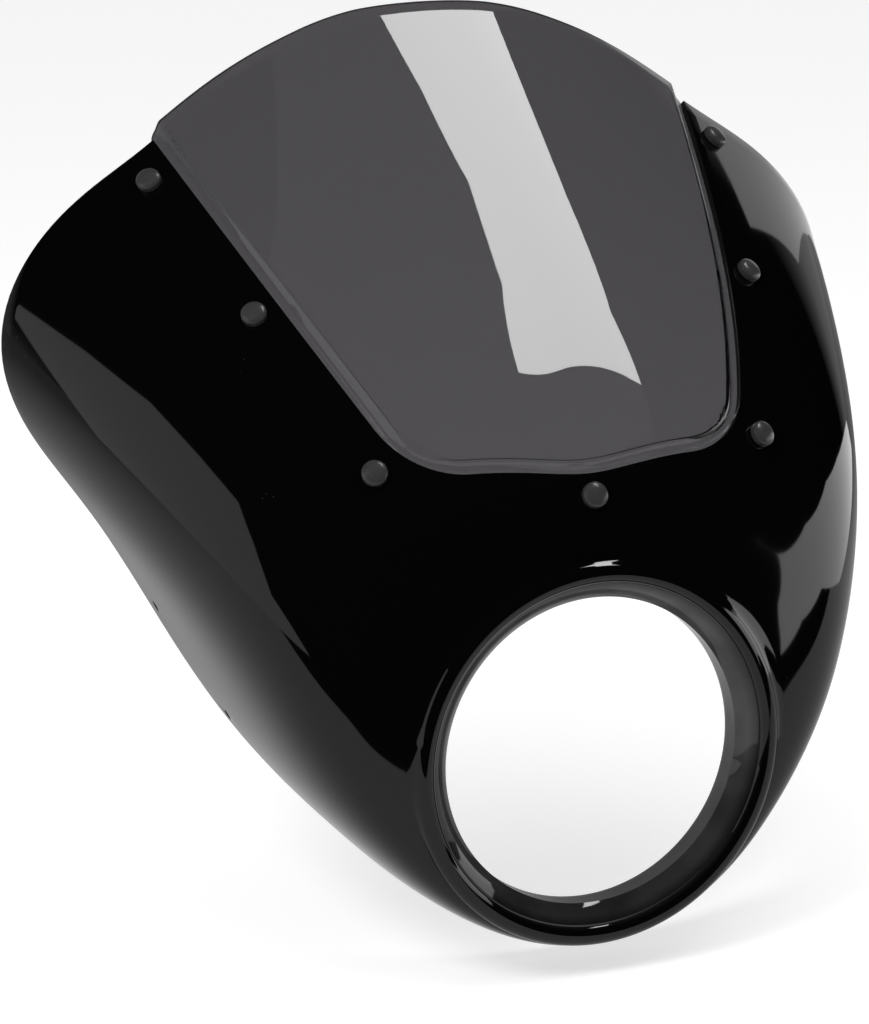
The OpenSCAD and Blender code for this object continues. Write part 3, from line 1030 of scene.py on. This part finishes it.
@dataclass
class Studio:
    """The white floor, the world, the lamps and the camera."""

    floor_z: float = -0.121
    camera_at: tuple[float, float, float] = (-1.0371, -2.2355, 0.7641)
    yaw: float = -23.0
    pitch: float = 14.5
    focal_pixels: float = 5000.0
    picture_height: float = 1024.0
    sensor: float = 36.0

    def build_camera(self) -> None:
        """Stands the camera where the photograph was taken."""
        data = bpy.data.cameras.new("view")
        data.sensor_width = self.sensor
        data.lens = self.focal_pixels * self.sensor / self.picture_height
        data.clip_end = 50
        camera = bpy.data.objects.new("view", data)
        bpy.context.scene.collection.objects.link(camera)
        yaw, pitch = math.radians(self.yaw), math.radians(self.pitch)
        right = Vector((math.cos(yaw), math.sin(yaw), 0))
        ahead = Vector((-math.sin(yaw) * math.cos(pitch), math.cos(yaw) * math.cos(pitch), -math.sin(pitch)))
        up = right.cross(ahead)
        turn = Matrix((right, up, -ahead)).transposed().to_4x4()
        camera.matrix_world = Matrix.Translation(Vector(self.camera_at)) @ turn
        bpy.context.scene.camera = camera

    def build_floor(self) -> None:
        """Lays a white floor that keeps the cowl's soft shadow."""
        deselect()
        bpy.ops.mesh.primitive_grid_add(x_subdivisions=2, y_subdivisions=2, size=1)
        floor = bpy.context.active_object
        floor.name = "floor"
        floor.data.transform(
            Matrix.Translation((0.3, 2.6, self.floor_z)) @ Matrix.Diagonal((7.0, 6.0, 1.0, 1.0))
        )
        material = bpy.data.materials.new("floor_white")
        material.use_nodes = True
        nodes, links = material.node_tree.nodes, material.node_tree.links
        nodes.clear()
        out = nodes.new("ShaderNodeOutputMaterial")
        both = nodes.new("ShaderNodeAddShader")
        glow = nodes.new("ShaderNodeEmission")
        glow.inputs["Strength"].default_value = 0.62
        matt = nodes.new("ShaderNodeBsdfDiffuse")
        matt.inputs["Color"].default_value = (0.6, 0.6, 0.6, 1)
        path = nodes.new("ShaderNodeLightPath")
        mirrored = nodes.new("ShaderNodeEmission")
        choice = nodes.new("ShaderNodeMixShader")
        links.new(position_ramp(nodes, links, "Y", (0.2, 1.2), (0.6, 0.2)), mirrored.inputs["Strength"])
        links.new(glow.outputs[0], both.inputs[0])
        links.new(matt.outputs[0], both.inputs[1])
        mirror_only = nodes.new("ShaderNodeMath")
        mirror_only.operation = "SUBTRACT"
        mirror_only.use_clamp = True
        links.new(path.outputs["Is Glossy Ray"], mirror_only.inputs[0])
        links.new(path.outputs["Is Transmission Ray"], mirror_only.inputs[1])
        links.new(mirror_only.outputs[0], choice.inputs[0])
        links.new(both.outputs[0], choice.inputs[1])
        links.new(mirrored.outputs[0], choice.inputs[2])
        links.new(choice.outputs[0], out.inputs["Surface"])
        floor.data.materials.append(material)

    def build_world(self) -> None:
        """Makes a world that is white behind the cowl and dark on the camera's side."""
        world = bpy.data.worlds.new("studio")
        world.use_nodes = True
        bpy.context.scene.world = world
        nodes, links = world.node_tree.nodes, world.node_tree.links
        nodes.clear()
        out = nodes.new("ShaderNodeOutputWorld")
        path = nodes.new("ShaderNodeLightPath")
        place = nodes.new("ShaderNodeTexCoord")
        parts = nodes.new("ShaderNodeSeparateXYZ")
        behind = nodes.new("ShaderNodeMapRange")
        behind.inputs["From Min"].default_value = 0.44
        behind.inputs["From Max"].default_value = 0.58
        behind.inputs["To Max"].default_value = 0.28
        low = nodes.new("ShaderNodeMapRange")
        low.inputs["From Min"].default_value = 0.62
        low.inputs["From Max"].default_value = 0.45
        wall = nodes.new("ShaderNodeMath")
        wall.operation = "MULTIPLY"
        seen = nodes.new("ShaderNodeMath")
        seen.operation = "MAXIMUM"
        glossy = nodes.new("ShaderNodeMix")
        glossy.data_type = "FLOAT"
        glossy.inputs["A"].default_value = 0.44
        white = nodes.new("ShaderNodeMix")
        white.data_type = "FLOAT"
        white.inputs["B"].default_value = 1.0
        light = nodes.new("ShaderNodeBackground")
        light.inputs["Color"].default_value = (1, 1, 1, 1)
        links.new(place.outputs["Generated"], parts.inputs[0])
        links.new(parts.outputs["Y"], behind.inputs["Value"])
        links.new(parts.outputs["Z"], low.inputs["Value"])
        links.new(behind.outputs["Result"], wall.inputs[0])
        links.new(low.outputs["Result"], wall.inputs[1])
        links.new(path.outputs["Is Glossy Ray"], glossy.inputs["Factor"])
        links.new(wall.outputs[0], glossy.inputs["B"])
        links.new(path.outputs["Is Camera Ray"], seen.inputs[0])
        links.new(path.outputs["Is Transmission Ray"], seen.inputs[1])
        links.new(seen.outputs[0], white.inputs["Factor"])
        links.new(glossy.outputs["Result"], white.inputs["A"])
        links.new(white.outputs["Result"], light.inputs["Strength"])
        links.new(light.outputs[0], out.inputs["Surface"])

    def build_lamp(self, name: str, at: tuple[float, float, float], size: float, power: float) -> None:
        """Hangs an area lamp that points at the cowl and isn't mirrored in it."""
        data = bpy.data.lights.new(name, "AREA")
        data.size = size
        data.energy = power
        lamp = bpy.data.objects.new(name, data)
        lamp.visible_glossy = False
        bpy.context.scene.collection.objects.link(lamp)
        aim = Vector((0, 0.1, 0.1)) - Vector(at)
        lamp.matrix_world = Matrix.Translation(Vector(at)) @ aim.to_track_quat("-Z", "Y").to_matrix().to_4x4()

    def build(self) -> None:
        """Builds the whole studio."""
        self.build_camera()
        self.build_floor()
        self.build_world()
        self.build_lamp("overhead", (0.2, -0.4, 1.9), 1.6, 18)
        self.build_lamp("upper_left", (-1.1, -0.7, 1.2), 0.5, 14)
        for panel in PANELS:
            panel.build()
        scene = bpy.context.scene
        scene.render.engine = "CYCLES"
        scene.view_settings.view_transform = "Standard"
        scene.cycles.transparent_max_bounces = 16
        scene.cycles.transmission_bounces = 12
        scene.cycles.glossy_bounces = 6


def dress_cad_nodes(kind: str, finish: Finish, material: bpy.types.Material) -> None:
    """Gives the carried-over nodes of one kind their material."""
    for place in PLACES:
        name = f"{kind}_{place.name}"
        obj = bpy.data.objects[name]
        obj.data.materials.clear()
        obj.data.materials.append(material)
        LOG.info("dressed %s as %s", name, finish.name)


def main() -> None:
    """Builds the cowl, dresses it and lights it."""
    logging.basicConfig(level=logging.INFO, format="%(message)s")
    surface = BodySurface()
    effects = Effects()
    shell = CowlShell(surface).build()
    dress(shell, SHELL_GLOSS.build(effects))
    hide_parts("cowl_shell")
    LOG.info("built %s, %d faces", shell.name, len(shell.data.polygons))
    screen = Windscreen(surface).build()
    dress(screen, SCREEN_SMOKE.build(effects))
    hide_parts("windscreen")
    LOG.info("built %s, %d faces", screen.name, len(screen.data.polygons))
    satin = CAP_SATIN.build(effects)
    for cap, place in zip(CapSet(surface).build(), PLACES):
        dress(cap, satin)
        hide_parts(f"cap_{place.name}")
        LOG.info("built %s", cap.name)
    for kind, finish in (("screw", SCREW_STEEL), ("washer", WASHER_RUBBER), ("nut", NUT_STEEL)):
        dress_cad_nodes(kind, finish, finish.build(effects))
    Studio().build()
    bpy.context.view_layer.update()


if __name__ == "__main__":
    main()
